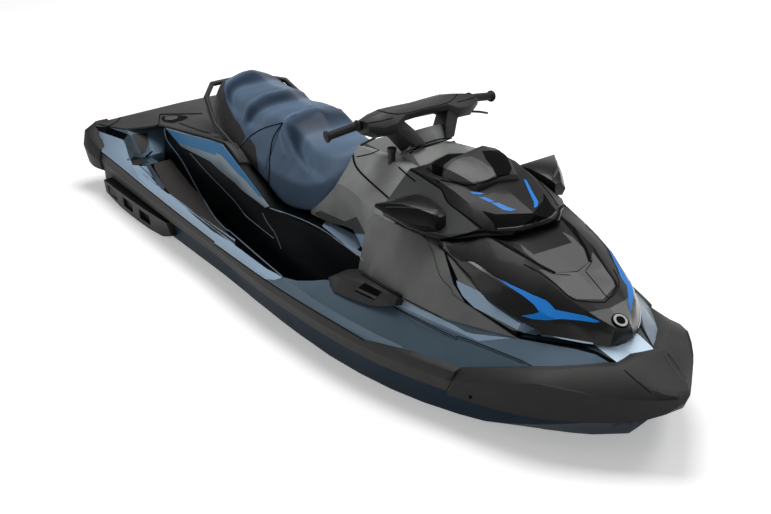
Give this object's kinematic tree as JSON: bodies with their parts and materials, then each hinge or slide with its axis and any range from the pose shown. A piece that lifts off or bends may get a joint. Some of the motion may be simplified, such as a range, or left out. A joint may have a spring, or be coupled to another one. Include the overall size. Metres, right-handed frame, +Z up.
{
  "type": "personal watercraft",
  "caption": "Sit-on personal watercraft afloat: vee hull, stepped seat, steerable bars and jet nozzle, reverse scoop, opening front bin, fold-down step.",
  "frame": {"origin": "on the centreline at mid-length, on the still waterline", "axes": "+X forward to the bow, +Y to port, +Z up"},
  "size_m": [3.45, 1.2538, 1.1086],
  "materials": {
    "hull_paint": "metallic gloss",
    "deck_paint": "metallic gloss",
    "gloss_black": "gloss",
    "hood_gloss": "gloss",
    "grey_panel": "satin",
    "bumper_black": "matte",
    "trim_black": "matte",
    "platform_grey": "matte",
    "mat": "textured",
    "accent_blue": "gloss",
    "seat_vinyl": "satin",
    "liner": "matte",
    "engine_metal": "matte",
    "pump_metal": "satin",
    "steel": "brushed",
    "grip_rubber": "matte"
  },
  "bodies": {
    "hull_and_deck": {"accent_panels": "accent_blue", "bow_deck": "deck_paint", "bow_eye": "steel", "console": "grey_panel", "deck_vents": "trim_black", "engine": "engine_metal", "footwell_mats": "mat", "front_bin": "liner", "front_bumper": "bumper_black", "grab_handle": "trim_black", "gunwale_port": "deck_paint", "gunwale_starboard": "deck_paint", "hood": "hood_gloss", "hull": "hull_paint", "intake_grate": "pump_metal", "key_post": "trim_black", "neck_base": "grey_panel", "pedestal": "gloss_black", "platform_cover": "platform_grey", "pump_housing": "pump_metal", "ride_plate": "pump_metal", "rub_rail_port": "bumper_black", "rub_rail_starboard": "bumper_black", "seat_front": "seat_vinyl", "seat_rear": "seat_vinyl", "side_fairing_port": "grey_panel", "side_fairing_starboard": "grey_panel", "sponsons": "trim_black", "step_brackets": "steel", "stern_bumpers": "bumper_black", "stern_deck": "deck_paint", "stern_eyes": "steel"},
    "handlebars": {"handlebar": "steel", "pod": "trim_black", "neck_cover": "grey_panel", "grips": "grip_rubber", "levers": "trim_black"},
    "front_lid": {"storage_lid": "hood_gloss", "gauge": "trim_black", "mirrors": "hood_gloss"},
    "glovebox_cover": {"glovebox_lid": "grey_panel"},
    "impeller_shaft": {"impeller": "steel"},
    "nozzle": {"steering_nozzle": "pump_metal"},
    "reverse_scoop": {"reverse_bucket": "pump_metal"},
    "swim_step": {"boarding_step": "steel"}
  },
  "joints": [
    {"name": "handlebar_steer", "type": "hinge", "parent": "hull_and_deck", "child": "handlebars", "pos_m": [0.24495, 0, 0.73028], "axis": [-0.5, 0, 0.866], "range_deg": [-24, 24]},
    {"name": "nozzle_steer", "type": "hinge", "parent": "hull_and_deck", "child": "nozzle", "pos_m": [-1.4904, 0, -0.08956], "axis": [0, 0, 1], "range_deg": [-24, 24]},
    {"name": "reverse_swing", "type": "hinge", "parent": "hull_and_deck", "child": "reverse_scoop", "pos_m": [-1.45073, 0, -0.08956], "axis": [0, -1, 0], "range_deg": [0, 78]},
    {"name": "impeller_spin", "type": "hinge", "parent": "hull_and_deck", "child": "impeller_shaft", "pos_m": [-1.16437, 0, -0.08956], "axis": [1, 0, 0], "continuous": true},
    {"name": "front_lid_hinge", "type": "hinge", "parent": "hull_and_deck", "child": "front_lid", "pos_m": [0.905, 0, 0.555], "axis": [0, 1, 0], "range_deg": [0, 50]},
    {"name": "glovebox_hinge", "type": "hinge", "parent": "hull_and_deck", "child": "glovebox_cover", "pos_m": [0.0967, 0, 0.66], "axis": [0, 1, 0], "range_deg": [0, 45]},
    {"name": "step_fold", "type": "hinge", "parent": "hull_and_deck", "child": "swim_step", "pos_m": [-1.6905, 0, 0.1266], "axis": [0, -1, 0], "range_deg": [0, 170]}
  ],
  "couplings": [
    {"joint": "nozzle_steer", "follows": "handlebar_steer", "ratio": -1}
  ]
}
